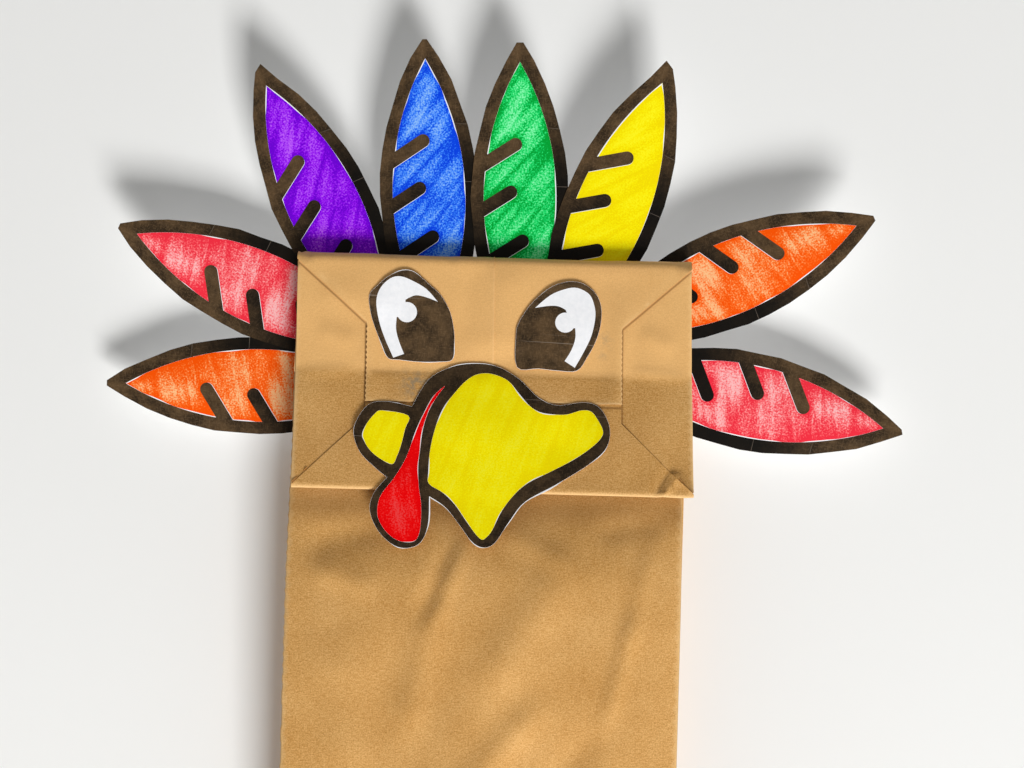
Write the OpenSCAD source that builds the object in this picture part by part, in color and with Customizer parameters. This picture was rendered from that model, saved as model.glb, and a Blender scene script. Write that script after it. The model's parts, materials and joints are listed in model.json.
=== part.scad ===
// Turkey hand puppet made from a flat-bottomed paper lunch bag, worn upside down:
// the hand goes in at the open end, and the folded bottom is the head that opens the mouth.
// X runs to the viewer's right, the face looks along -Y and +Z runs from the open end to the top crease.

/* [Bag] */
// Width of the front and back panels
bag_w = 130; // [120:1:150]
// Depth of the bag when it stands open, which is also the height of the head
bag_d = 78; // [72:1:84]
// Height from the open end to the top crease
bag_h = 270; // [250:1:300]
// Distance between the front and back panels at the open end
mouth_w = 18; // [16:1:24]
// Thickness of one ply of bag paper
ply = 0.3; // [0.2:0.05:0.35]
// Height up to which the front panel stays parallel to the back panel
bulge_z = 165; // [140:1:170]
// Width of the glued overlap down the back panel
seam_w = 12; // [8:1:16]
// Radius of the thumb notch in the front panel's open edge
notch_r = 10; // [6:1:14]

/* [Head] */
// How far the lower edge of the head stands forward of the top crease
head_lift = 16; // [14:1:20]
// Room between the back panel and the front panel at the throat crease
throat_w = 5.5; // [5:0.5:7]
// Width of the side tucks under the bottom flaps
tuck_w = 23.3; // [18:0.1:26]
// Length of the flap that hangs from the top crease
outer_flap_l = 48; // [44:1:52]
// Length of the flap that rises from the head's lower edge
inner_flap_l = 42; // [38:1:46]

/* [Feathers] */
// Length of a feather from end to end
feather_l = 106; // [90:0.5:110]
// Width of a feather at its middle
feather_w = 32.6; // [28:0.2:36]
// Width of the blunt cut across a feather's tip
tip_w = 2; // [1:0.5:4]
// Thickness of the printed paper
card = 0.3; // [0.2:0.05:0.35]

/* [Glue] */
// Thickness of a film of paste
paste = 0.1; // [0.05:0.05:0.15]
// Radius of a dab of glue
dab_r = 3; // [2:0.5:4]

/* [Hidden] */
$fn = 48;

kraft = "#c79a66";
kraft_inside = "#b98b58";
glue = "#e9e4d2";
print_black = "#352a24";

half = bag_w / 2;
gusset = bag_d / 2;
back_y = mouth_w / 2;
front_y = -mouth_w / 2;
// Space kept between sheets that move apart
clear = 0.3;

// The head turns about a line just inside the top crease
hinge_y = back_y - 0.5;
tilt = asin(head_lift / bag_d);

// Distances of the head's layers in front of that line, from the inside out
triangle_n = 0.5;
tuck_n = triangle_n + ply;
inner_n = tuck_n + ply;
outer_n = inner_n + ply + paste;
face_n = outer_n + ply + paste;

// The pleat turns about a line along the head's lower edge
pleat_n = 0.2;
pleat_y = hinge_y - bag_d * sin(tilt) - pleat_n * cos(tilt);
pleat_z = bag_h - bag_d * cos(tilt) + pleat_n * sin(tilt);
// Depths of the pleat's two layers behind that line
corner_back = 0.1;
pleat_back = corner_back + ply;

// The throat crease, where the pleat meets the front panel
throat_in = back_y - throat_w;
throat_y = throat_in - ply - clear - 0.1 - pleat_back - ply;
pleat_tilt = asin((throat_y - pleat_y) / gusset);
throat_z = pleat_z + gusset * cos(pleat_tilt);
// The throat is the joint left open, so the front panel stops short of it
throat_gap = 3;

// Inner face of the front panel at height z
function front_in(z) =
  z <= bulge_z ? front_y
  : front_y + (throat_in - front_y) * (z - bulge_z) / (throat_z - bulge_z);
// Where the gusset's inner crease lies at height z, and how far in it reaches
function crease_y(z) = (back_y + front_in(z)) / 2;
function crease_x(z) = half - sqrt(pow(gusset, 2) - pow((back_y - front_in(z)) / 2, 2));

// ---- helpers ----

// A flat sheet facing along -Y from an outline in X and Z, with its rear face at y = rear
module sheet(rear, thick) {
  translate([0, rear, 0])
    rotate([90, 0, 0])
      linear_extrude(thick)
        children();
}

// The same on the head, from n in front of its hinge line; outlines hang down from the top crease
module head_sheet(n, thick) {
  translate([0, hinge_y, bag_h])
    rotate([-tilt, 0, 0])
      sheet(-n, thick)
        children();
}

// The same on the pleat, whose outlines rise from the head's lower edge
module pleat_sheet(depth, thick) {
  translate([0, pleat_y, pleat_z])
    rotate([-pleat_tilt, 0, 0])
      sheet(depth + thick, thick)
        children();
}

// side is 1 for the right hand and -1 for the left
module on_side(side) {
  mirror([side < 0 ? 1 : 0, 0, 0])
    children();
}

// A creased sheet spanned by rows of two edge points, with its second face shifted by thick along Y
module creased_sheet(rows, thick) {
  shift = [0, thick, 0];
  last = 4 * (len(rows) - 1);
  points = [for (r = rows) each [r[0], r[1], r[1] + shift, r[0] + shift]];
  walls = [
    for (i = [0 : len(rows) - 2])
      for (k = [0 : 3])
        let (a = 4 * i + k, b = 4 * i + (k + 1) % 4)
          each [[a, b, b + 4], [a, b + 4, a + 4]]
  ];
  ends = [[2, 1, 0], [3, 2, 0], [last, last + 1, last + 2], [last, last + 2, last + 3]];
  polyhedron(points, concat(walls, ends));
}

// Catmull-Rom curve through the points of an open line, with n steps in each span
function curve(p, n = 4) = [
  for (i = [0 : len(p) - 2])
    let (a = p[max(i - 1, 0)], b = p[i], c = p[i + 1], d = p[min(i + 2, len(p) - 1)])
      for (k = [0 : n - 1])
        let (t = k / n)
          (2 * b + (c - a) * t + (2 * a - 5 * b + 4 * c - d) * pow(t, 2)
            + (3 * b - a - 3 * c + d) * pow(t, 3)) / 2
];

// ---- back of the bag ----

module back_panel_right() {
  color(kraft)
    sheet(back_y + ply, ply)
      translate([-seam_w, 0])
        square([half + seam_w, bag_h - clear]);
}

// The left half steps over the right one at the glued seam and ends on the centre line
module back_panel_left() {
  step = ply + paste;
  inner = [[-half, back_y], [-seam_w - 2, back_y], [-seam_w - 0.5, back_y + step], [0, back_y + step]];
  outer = [for (i = [3 : -1 : 0]) inner[i] + [0, ply]];
  color(kraft)
    linear_extrude(bag_h - clear)
      polygon(concat(inner, outer));
}

module seam_glue() {
  margin = 2;
  color(glue)
    sheet(back_y + ply + paste, paste)
      translate([-seam_w + 0.5, margin])
        square([seam_w - 1, bag_h - 2 * margin]);
}

// Back half of the side gusset, from the panel's edge to the inner crease, ending in the top diagonal
module gusset_back(side) {
  top = bag_h - 1;
  lift = clear / 2 + ply;
  heights = [0, bulge_z, throat_z];
  rows = concat(
    [for (z = heights) [[half, back_y, z], [crease_x(z), crease_y(z) + lift, z]]],
    [[[half, back_y, top], [half - 1, back_y, top]]]
  );
  color(kraft_inside)
    on_side(side)
      creased_sheet(rows, -ply);
}

// ---- front of the bag ----

module front_panel() {
  top = throat_z - throat_gap;
  inner = [[front_y, 0], [front_y, bulge_z], [front_in(top), top]];
  outer = [for (i = [2 : -1 : 0]) inner[i] - [ply, 0]];
  color(kraft)
    difference() {
      translate([-half, 0, 0])
        rotate([90, 0, 90])
          linear_extrude(bag_w)
            polygon(concat(inner, outer));
      translate([0, front_y + 1, 0])
        rotate([90, 0, 0])
          cylinder(r = notch_r, h = 3);
    }
}

module gusset_front(side) {
  lift = clear / 2 + ply;
  heights = [0, bulge_z, throat_z - throat_gap];
  rows = [for (z = heights) [[half, front_in(z), z], [crease_x(z), crease_y(z) - lift, z]]];
  color(kraft_inside)
    on_side(side)
      creased_sheet(rows, ply);
}

// ---- pleat behind the head ----

module mouth_pleat() {
  color(kraft)
    pleat_sheet(pleat_back, ply)
      translate([-half, 0.5])
        square([bag_w, gusset - 1]);
}

module pleat_corner(side) {
  color(kraft_inside)
    on_side(side)
      pleat_sheet(corner_back, ply)
        polygon([[half, 1.5], [half, gusset - 0.5], [half - gusset + 2, gusset - 0.5]]);
}

// ---- head, which is the folded bottom of the bag ----

module side_triangle(side) {
  color(kraft_inside)
    on_side(side)
      head_sheet(triangle_n, ply)
        polygon([[half, -1.5], [half, 1.5 - bag_d], [half - gusset + 1.5, -gusset]]);
}

module side_tuck(side) {
  color(kraft)
    on_side(side)
      head_sheet(tuck_n, ply)
        translate([half - tuck_w, 0.4 - bag_d])
          square([tuck_w, bag_d - 0.8]);
}

// A flap as wide as the bag at its crease, with 45 degree corners down to the tucks' inner edges
module flap_outline(length) {
  tongue = half - tuck_w;
  edge = 0.4;
  polygon([
    [-half, edge], [half, edge], [tongue, tuck_w], [tongue, length],
    [-tongue, length], [-tongue, tuck_w]
  ]);
}

module bottom_flap_inner() {
  color(kraft)
    head_sheet(inner_n, ply)
      translate([0, -bag_d])
        flap_outline(inner_flap_l);
}

module bottom_flap_outer() {
  color(kraft)
    head_sheet(outer_n, ply)
      mirror([0, 1])
        flap_outline(outer_flap_l);
}

// Paste between the two flaps, and a pad under each corner of the outer flap
module bottom_paste() {
  tongue = half - tuck_w;
  overlap = outer_flap_l + inner_flap_l - bag_d;
  margin = 1;
  color(glue) {
    head_sheet(outer_n - paste, paste)
      translate([margin - tongue, margin - outer_flap_l])
        square([2 * (tongue - margin), overlap - 2 * margin]);
    for (side = [-1, 1])
      on_side(side)
        head_sheet(inner_n, ply + paste)
          translate([tongue + 1, -14])
            square([5, 10]);
  }
}

// ---- printed face ----

eye_left_dome = [[-34, 35], [-38.5, 25], [-40.7, 15], [-35, 8.5], [-28, 6.3], [-21.5, 10.5],
  [-14.3, 19.5], [-12.5, 28], [-13, 35]];
eye_right_dome = [[8.3, 36.7], [7.7, 26.3], [11.4, 17.4], [17.5, 11], [25, 8.4], [31.5, 10],
  [35.4, 16.7], [34.8, 25], [31, 33], [28, 37.4]];
beak_lobe = [[-25.5, 51], [-34, 49.5], [-40, 51], [-44, 58.5], [-42, 66], [-36.5, 71.5],
  [-32.5, 74.5]];
snood_edge = [[-32.5, 74.5], [-36.7, 80], [-37.5, 86], [-34, 92.7], [-28, 97], [-21.7, 96],
  [-18.9, 90], [-18.8, 80.3]];
beak_edge = [[-18.8, 80.3], [-13.5, 83.7], [-9, 89], [-4.6, 94.6], [-0.8, 96.4], [2.8, 94.7],
  [7, 88], [12, 81.3], [22, 75.3], [32.4, 68.4], [38, 62.7], [38.8, 56], [35.5, 49.7],
  [30.5, 48], [22, 49.3], [15.8, 47.1], [9, 40.7], [2.1, 36.8], [-5, 35.9], [-13, 37.3],
  [-20.5, 41.7], [-25.5, 51]];

module face_cutout(outline) {
  head_sheet(face_n, card)
    mirror([0, 1])
      polygon(outline);
}

module eye_left() {
  color(print_black)
    face_cutout(concat(curve(eye_left_dome), [[-13, 35], [-24, 36]]));
}

module eye_right() {
  color(print_black)
    face_cutout(concat(curve(eye_right_dome), [[28, 37.4]]));
}

module beak_and_snood() {
  color("#f2e21c")
    face_cutout(concat(curve(beak_lobe), curve(snood_edge), curve(beak_edge)));
}

// Dabs from the bag's paper up to the cut-outs; those low on the beak reach down to the inner flap
module face_glue_dots() {
  on_outer = [[-27, 22], [21, 24], [-8, 43]];
  on_inner = [[-36, 60], [-8, 64], [26, 60]];
  color(glue) {
    for (p = on_outer)
      head_sheet(face_n - paste, paste)
        translate([p[0], -p[1]])
          circle(dab_r);
    for (p = on_inner)
      head_sheet(inner_n + ply, face_n - inner_n - ply)
        translate([p[0], -p[1]])
          circle(dab_r);
  }
}

// ---- feathers ----

// Each feather: tip x, tip z, lean to the right in degrees, layer behind the bag, and glue dab
// as a distance from the tip along the feather and an offset to its right
purple = [-80.7, 331.3, -27.2, 3, 86, 0];
blue = [-25.5, 342.5, -3.2, 2, 84, 0];
green = [6.3, 342, -1.6, 1, 84, -3];
yellow = [56.1, 335.8, 20.4, 0, 85, 0];
red_left = [-125.2, 277.5, -67.6, 4, 78, -3];
orange_left = [-128.9, 225.2, -90.6, 5, 86, 0];
orange_right = [125.4, 286.9, 65.9, 1, 86, 0];
red_right = [136.9, 216.2, 99.9, 2, 86, 0];
FEATHERS = [purple, blue, green, yellow, red_left, orange_left, orange_right, red_right];

// Radius of the two arcs that bound a feather
leaf_r = (pow(feather_l, 2) + pow(feather_w, 2)) / (4 * feather_w);
first_layer_y = back_y + 2 * ply + 2 * paste;
layer_pitch = card + paste;

function layer_y(layer) = first_layer_y + layer * layer_pitch;

// A leaf with its tip at the origin, pointing up
module leaf() {
  reach = leaf_r - feather_w / 2;
  blunt = tip_w / 2 / tan(acos(1 - feather_w / 2 / leaf_r));
  difference() {
    translate([0, blunt - feather_l / 2])
      intersection() {
        translate([-reach, 0])
          circle(leaf_r, $fn = 180);
        translate([reach, 0])
          circle(leaf_r, $fn = 180);
      }
    translate([-feather_w / 2, 0])
      square([feather_w, feather_w]);
  }
}

module feather(spec) {
  sheet(layer_y(spec[3]) + card, card)
    translate([spec[0], spec[1]])
      rotate(-spec[2])
        leaf();
}

module feather_glue_dots() {
  color(glue)
    for (spec = FEATHERS) {
      dab_x = spec[0] - spec[4] * sin(spec[2]) + spec[5] * cos(spec[2]);
      dab_z = spec[1] - spec[4] * cos(spec[2]) - spec[5] * sin(spec[2]);
      on_seam = dab_x > -seam_w - 2 - dab_r && dab_x < dab_r;
      from_y = on_seam ? back_y + 2 * ply + paste : back_y + ply;
      sheet(layer_y(spec[3]), layer_y(spec[3]) - from_y)
        translate([dab_x, dab_z])
          circle(dab_r);
    }
}

back_panel_left();
back_panel_right();
seam_glue();
gusset_back(-1);  // gusset_back_left
gusset_back(1);  // gusset_back_right
color("#6f22d6") feather(purple);  // feather_purple
color("#2a6ff0") feather(blue);  // feather_blue
color("#14b84a") feather(green);  // feather_green
color("#fff010") feather(yellow);  // feather_yellow
color("#ee4458") feather(red_left);  // feather_red_left
color("#f9701e") feather(orange_left);  // feather_orange_left
color("#f9601a") feather(orange_right);  // feather_orange_right
color("#ee4458") feather(red_right);  // feather_red_right
feather_glue_dots();
front_panel();
gusset_front(-1);  // gusset_front_left
gusset_front(1);  // gusset_front_right
mouth_pleat();
pleat_corner(-1);  // pleat_corner_left
pleat_corner(1);  // pleat_corner_right
bottom_flap_outer();
bottom_flap_inner();
bottom_paste();
side_tuck(-1);  // side_tuck_left
side_tuck(1);  // side_tuck_right
side_triangle(-1);  // side_triangle_left
side_triangle(1);  // side_triangle_right
eye_left();
eye_right();
beak_and_snood();
face_glue_dots();
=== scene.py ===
"""Looks of the turkey bag puppet: creased kraft paper, and printed cut-outs coloured with markers.

Outlines are in millimetres, as the paper was cut, and place functions fold them into the frame.
"""

import json
import math

import bpy
import numpy as np
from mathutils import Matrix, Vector, noise
from mathutils.geometry import delaunay_2d_cdt


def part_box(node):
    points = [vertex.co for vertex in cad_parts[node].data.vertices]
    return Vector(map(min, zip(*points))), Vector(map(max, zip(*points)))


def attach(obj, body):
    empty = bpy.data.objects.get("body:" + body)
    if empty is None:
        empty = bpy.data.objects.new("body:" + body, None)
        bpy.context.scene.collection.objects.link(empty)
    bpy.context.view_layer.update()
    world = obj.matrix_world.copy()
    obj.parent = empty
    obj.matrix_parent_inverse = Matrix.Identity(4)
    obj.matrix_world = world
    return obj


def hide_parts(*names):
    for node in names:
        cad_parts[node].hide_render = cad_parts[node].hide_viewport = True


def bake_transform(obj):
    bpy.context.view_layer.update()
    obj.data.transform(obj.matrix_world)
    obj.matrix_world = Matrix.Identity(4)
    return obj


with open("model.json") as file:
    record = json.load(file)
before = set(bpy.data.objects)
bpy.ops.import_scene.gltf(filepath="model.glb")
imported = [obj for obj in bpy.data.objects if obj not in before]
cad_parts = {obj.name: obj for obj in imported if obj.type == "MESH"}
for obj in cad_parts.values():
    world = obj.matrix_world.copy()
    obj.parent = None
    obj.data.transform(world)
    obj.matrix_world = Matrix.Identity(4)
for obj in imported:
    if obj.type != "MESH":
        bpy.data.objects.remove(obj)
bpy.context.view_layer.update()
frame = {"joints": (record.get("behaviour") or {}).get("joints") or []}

MM = 0.001
CARD = 0.25  # thickness of the cut-outs' paper
PLY = 0.25  # thickness of the bag's paper
COLLECTION = bpy.context.scene.collection


def box_mm(node):
    low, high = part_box(node)
    return np.array(low) / MM, np.array(high) / MM


def joint_mm(name):
    return next(np.array(j["pos_m"]) / MM for j in frame["joints"] if j["name"] == name)


# ---- the frame's main dimensions ----

HEAD_AXIS = joint_mm("head_fold")
PLEAT_AXIS = joint_mm("pleat_fold")
HALF = box_mm("back_panel_right")[1][0]
BACK = box_mm("back_panel_right")[0][1]
FRONT = joint_mm("front_lean")[1]
TOP = HEAD_AXIS[2]
HEAD_L = 78  # from the top crease to the head's lower edge
GUSSET = HEAD_L / 2  # width of each half of a gusset
TUCK = HALF - 41.7  # how far the head's sides are folded in
TONGUE = HALF - TUCK  # half the width of the flaps between the tucks
PLEAT_N = 0.2  # how far the pleat's hinge lies in front of the head's plane
head_line = PLEAT_AXIS - HEAD_AXIS
TILT = math.atan2(-head_line[1], -head_line[2]) - PLEAT_N / HEAD_L
pleat_low, pleat_high = box_mm("mouth_pleat")
pleat_size = pleat_high - pleat_low
PLEAT_TILT = math.atan2(pleat_size[1] - 0.29, pleat_size[2] - 0.08)  # without its own thickness
THROAT_Z = PLEAT_AXIS[2] + GUSSET * math.cos(PLEAT_TILT)
BULGE_Z = 165  # where the front starts to lean back to the throat
THROAT_IN = BACK - 5.5  # inner face of the front at the throat

# Layers of the head, in front of its hinge line
TRIANGLE_N, TUCK_N, INNER_N, OUTER_N, FACE_N = 0.5, 0.8, 1.1, 1.14, 1.9


def smooth(x, low, high):
    """0 below low, 1 above high, with a smooth rise between."""
    t = np.clip((x - low) / (high - low), 0, 1)
    return t * t * (3 - 2 * t)


def ripple(x, z, size, seed=0.0):
    """Smooth noise from -1 to 1 with the given feature size in millimetres."""
    flat = np.stack([np.ravel(x) / size + seed, np.ravel(z) / size - seed], axis=1)
    values = [noise.noise(Vector((a, b, seed))) for a, b in flat]
    return np.array(values).reshape(np.shape(x))


def ridge(x, z, a, b, width, height):
    """A soft fold along the line from a to b, fading at its ends."""
    a, b = np.array(a, float), np.array(b, float)
    d = b - a
    length = np.linalg.norm(d)
    along = ((x - a[0]) * d[0] + (z - a[1]) * d[1]) / length
    aside = ((x - a[0]) * d[1] - (z - a[1]) * d[0]) / length
    fade = np.clip(along / (0.25 * length), 0, 1) * np.clip((length - along) / (0.25 * length), 0, 1)
    return height * np.exp(-((aside / width) ** 2)) * fade


# Soft folds of the head: one end, the other end, width and height, across and down from the top
HEAD_FOLDS = [
    ((55, 80), (62, 70), 0.9, 1.5),
    ((60, 70), (68, 80), 0.9, 1.5),
    ((52, 80), (60, 68), 1.6, -0.5),
    ((-12, 36), (16, 34), 4.0, -0.8),
    ((45, 8), (38, 60), 3.5, 0.6),
    ((-64, 40), (-44, 39), 1.4, 0.5),
    ((44, 37), (66, 39), 1.4, 0.5),
    ((-58, 12), (-30, 20), 5.0, 0.6),
    ((-58, 26), (-44, 30), 3.0, 0.5),
    ((48, 24), (60, 30), 3.0, 0.6),
    ((4, 0), (2, 36), 5.0, 0.6),
    ((-8, 2), (-10, 32), 3.0, -0.4),
]


def head_relief(u, v):
    """How far the head stands out from its plane: its halves meet in a shallow valley."""
    crown = 3.6 * np.clip(1 - v / GUSSET, 0, 1)
    valley = 1.4 * np.clip(1 - np.abs(v - GUSSET) / GUSSET, 0, 1)
    relief = 0.75 * ripple(u, v, 20, 2.3) * np.clip((HEAD_L - v) / 15, 0, 1)
    for a, b, width, height in HEAD_FOLDS:
        relief += ridge(u, v, a, b, width, height)
    return relief * np.clip(v / 8, 0, 1) + crown - valley


def head_point(u, v, n):
    """Across, down from the top crease and out from the hinge line, to x, y, z."""
    n = n + head_relief(u, v)
    y = HEAD_AXIS[1] - v * math.sin(TILT) - n * math.cos(TILT)
    z = HEAD_AXIS[2] - v * math.cos(TILT) + n * math.sin(TILT)
    return np.stack([u, y, z], axis=-1)


def pleat_point(u, s, depth):
    """Across, up from the head's lower edge and back from the pleat's hinge line, to x, y, z."""
    y = PLEAT_AXIS[1] + s * math.sin(PLEAT_TILT) + depth * math.cos(PLEAT_TILT)
    z = PLEAT_AXIS[2] + s * math.cos(PLEAT_TILT) - depth * math.sin(PLEAT_TILT)
    return np.stack([u, y, z], axis=-1)


def sheared(u, v):
    """The folded bottom hangs slightly to the right towards its lower edge."""
    return u + 1.4 * v / HEAD_L


# ---- outlines ----


def arc_points(centre, radius, start, end, steps):
    angles = np.radians(np.linspace(start, end, steps))
    return np.array(centre) + radius * np.stack([np.cos(angles), np.sin(angles)], axis=1)


def curve(points, steps):
    """Catmull-Rom curve through the points of an open line, without its last point."""
    p = np.array(points, float)
    before, after = np.vstack([p[:1], p[:-1]]), np.vstack([p[2:], p[-1:]])
    out = []
    for i in range(len(p) - 1):
        a, b, c, d = before[i], p[i], p[i + 1], after[i]
        for t in np.arange(steps) / steps:
            cubic = 3 * b - a - 3 * c + d
            out.append((2 * b + (c - a) * t + (2 * a - 5 * b + 4 * c - d) * t**2 + cubic * t**3) / 2)
    return np.array(out)


def subdivided(loop, step):
    """A closed loop with points added so that no side is much longer than step."""
    out = []
    for a, b in zip(loop, np.roll(loop, -1, axis=0)):
        n = max(1, round(float(np.linalg.norm(b - a)) / step))
        out += [a + (b - a) * k / n for k in range(n)]
    return np.array(out)


def grown(loop, by):
    """A closed loop moved outwards, or inwards where by is negative, along its normals."""
    edge = np.roll(loop, -1, axis=0) - np.roll(loop, 1, axis=0)
    area = np.sum(loop[:, 0] * np.roll(loop[:, 1], -1) - np.roll(loop[:, 0], -1) * loop[:, 1])
    normal = np.stack([edge[:, 1], -edge[:, 0]], axis=1) * (1 if area > 0 else -1)
    return loop + by * normal / np.linalg.norm(normal, axis=1, keepdims=True)


def inside(points, loop):
    """Which points lie inside a closed loop."""
    x, y = points[:, 0:1], points[:, 1:2]
    ax, ay = loop[:, 0], loop[:, 1]
    bx, by = np.roll(ax, -1), np.roll(ay, -1)
    crosses = (ay > y) != (by > y)
    with np.errstate(divide="ignore", invalid="ignore"):
        at = ax + (y - ay) * (bx - ax) / (by - ay)
    return (crosses & (x < at)).sum(axis=1) % 2 == 1


def distance(points, loop):
    """How far each point is from a closed loop."""
    a, b = loop, np.roll(loop, -1, axis=0)
    d = b - a
    rel = points[:, None] - a
    t = np.clip((rel * d).sum(2) / np.maximum((d * d).sum(1), 1e-12), 0, 1)
    return np.linalg.norm(rel - t[..., None] * d, axis=2).min(axis=1)


def serrated(start, end, pitch, depth):
    """A row of small teeth from start to end, to the left of that direction."""
    start, end = np.array(start, float), np.array(end, float)
    length = np.linalg.norm(end - start)
    along = (end - start) / length
    aside = np.array([-along[1], along[0]])
    teeth = max(2, round(length / pitch))
    steps = 2 * teeth
    return [start + along * length * k / steps + aside * depth * (k % 2) for k in range(steps)]


# ---- meshes of cut paper ----


def split_at(loop, axis, values):
    """A closed loop with a point added wherever it crosses one of the values along an axis."""
    out = []
    for a, b in zip(loop, np.roll(loop, -1, axis=0)):
        out.append(a)
        low, high = sorted((a[axis], b[axis]))
        crossed = [v for v in values if low + 0.01 < v < high - 0.01]
        for v in sorted(crossed, reverse=bool(a[axis] > b[axis])):
            out.append(a + (b - a) * (v - a[axis]) / (b[axis] - a[axis]))
    return np.array(out)


SLIVER_PASSES = 8  # a sliver's neighbour may be a sliver too


def cut_mesh(outline, lines=(), step=2.0, rows=(), columns=()):
    """Triangles filling a closed outline, with points every step.

    The closed lines become edges of the mesh. Rows and columns are heights and distances across
    at which the paper folds: they get points of their own.
    """
    outer = split_at(np.array(outline, float), 1, rows)
    outer = split_at(outer, 0, columns)
    loops = [outer, *[np.array(line, float) for line in lines]]
    low, high = outer.min(0), outer.max(0)
    xs = np.arange(low[0] + step / 2, high[0], step)
    ys = np.arange(low[1] + step / 2, high[1], step * 0.87)
    grid = [(x + (k % 2) * step / 2, y) for k, y in enumerate(ys) for x in xs]
    grid = [(x, y) for x, y in grid if clear_of(y, rows) and clear_of(x, columns)]
    grid += [(x, y) for y in rows for x in xs if clear_of(x, columns)]
    grid += [(x, y) for x in columns for y in np.arange(low[1] + 0.6, high[1], min(step, 1.2))]
    grid = np.array(grid)
    grid = grid[inside(grid, outer)]
    for loop in loops:
        grid = grid[far_from(grid, loop, step * 0.3)]
    points, edges = [], []
    for loop in loops:
        n = len(points)
        points += [tuple(p) for p in loop]
        edges += [(n + i, n + (i + 1) % len(loop)) for i in range(len(loop))]
    points += [tuple(p) for p in grid]
    made = delaunay_2d_cdt([Vector(p) for p in points], edges, [], 0, 0.01)
    at = np.array([tuple(p) for p in made[0]])
    faces = np.array([f for f in made[2]])
    faces = faces[inside(at[faces].mean(axis=1), outer)]
    used, faces = np.unique(faces, return_inverse=True)
    faces = faces.reshape(-1, 3)
    for _ in range(SLIVER_PASSES):
        faces = without_slivers(at[used], faces)
    return at[used], faces


def without_slivers(at, faces, least=0.005):
    """Each triangle lower than least shares the space of its neighbour across its longest side."""
    corners = at[faces]
    sides = np.roll(corners, -1, axis=1) - corners
    lengths = np.linalg.norm(sides, axis=2)
    area = np.abs(sides[:, 0, 0] * sides[:, 1, 1] - sides[:, 0, 1] * sides[:, 1, 0])
    made = dict(enumerate(map(tuple, faces.tolist())))
    across = {}
    for k, (a, b, c) in made.items():
        across[a, b] = across[b, c] = across[c, a] = k
    done = set()
    for k in np.flatnonzero(area / lengths.max(axis=1) < least).tolist():
        a, b, c = np.roll(faces[k], -int(lengths[k].argmax())).tolist()
        other = across.get((b, a))
        if k in done or other in done:
            continue
        done.add(k)
        if other is None:
            del made[k]
            continue
        done.add(other)
        far = (set(made[other]) - {a, b}).pop()
        made[k], made[other] = (a, far, c), (far, b, c)
    return np.array(list(made.values()))


def clear_of(value, lines, gap=0.5):
    return all(abs(value - line) > gap for line in lines)


def far_from(points, loop, limit):
    """Which points are further than limit from a loop, worked out in blocks to save memory."""
    blocks = [distance(points[i : i + 2000], loop) for i in range(0, len(points), 2000)]
    return np.concatenate(blocks) > limit


def paper(name, at, faces, place, thick, materials, paint=None, tints=None, flip=False):
    """A closed sheet of paper: the flat mesh placed in front and behind, joined round its rim.

    place(points, depth) gives x, y, z in millimetres; paint(centres) gives each front face's
    material, and the back and the rim take the last one. tints holds functions of the flat points,
    whose values go to the vertices under the given names. flip is for a place that mirrors.
    """
    n = len(at)
    front, back = place(at, 0.0), place(at, thick)
    edges = np.concatenate([faces[:, [0, 1]], faces[:, [1, 2]], faces[:, [2, 0]]])
    key = {tuple(e) for e in edges.tolist()}
    rim = [e for e in key if (e[1], e[0]) not in key]
    polygons = faces.tolist() + (faces[:, ::-1] + n).tolist() + [(a + n, b + n, b, a) for a, b in rim]
    mesh = bpy.data.meshes.new(name)
    mesh.from_pydata((np.concatenate([front, back]) * MM).tolist(), [], polygons)
    for material in materials:
        mesh.materials.append(material)
    last = len(materials) - 1
    index = np.full(len(polygons), last)
    if paint is not None:
        index[: len(faces)] = paint(at[faces].mean(axis=1))
    mesh.polygons.foreach_set("material_index", index.astype(np.int32))
    mesh.polygons.foreach_set("use_smooth", np.ones(len(polygons), bool))
    layer = mesh.uv_layers.new(name="flat")
    loops = np.zeros(len(mesh.loops), np.int32)
    mesh.loops.foreach_get("vertex_index", loops)
    layer.data.foreach_set("uv", (np.concatenate([at, at])[loops] / 100).astype(np.float32).ravel())
    for attribute, tint in (tints or {}).items():
        values = np.tile(tint(at), 2).astype(np.float32)
        mesh.attributes.new(attribute, "FLOAT", "POINT").data.foreach_set("value", values)
    sharp = {frozenset(e) for e in rim} | {frozenset((a + n, b + n)) for a, b in rim}
    for edge in mesh.edges:
        edge.use_edge_sharp = frozenset(edge.vertices) in sharp
    if flip:
        mesh.flip_normals()
    mesh.update()
    piece = bpy.data.objects.new(name, mesh)
    COLLECTION.objects.link(piece)
    return piece


# ---- materials ----


def linear(red, green, blue):
    """A display colour from 0 to 255 as linear light."""
    c = np.array([red, green, blue]) / 255
    return (*np.where(c <= 0.04045, c / 12.92, ((c + 0.055) / 1.055) ** 2.4), 1.0)


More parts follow.
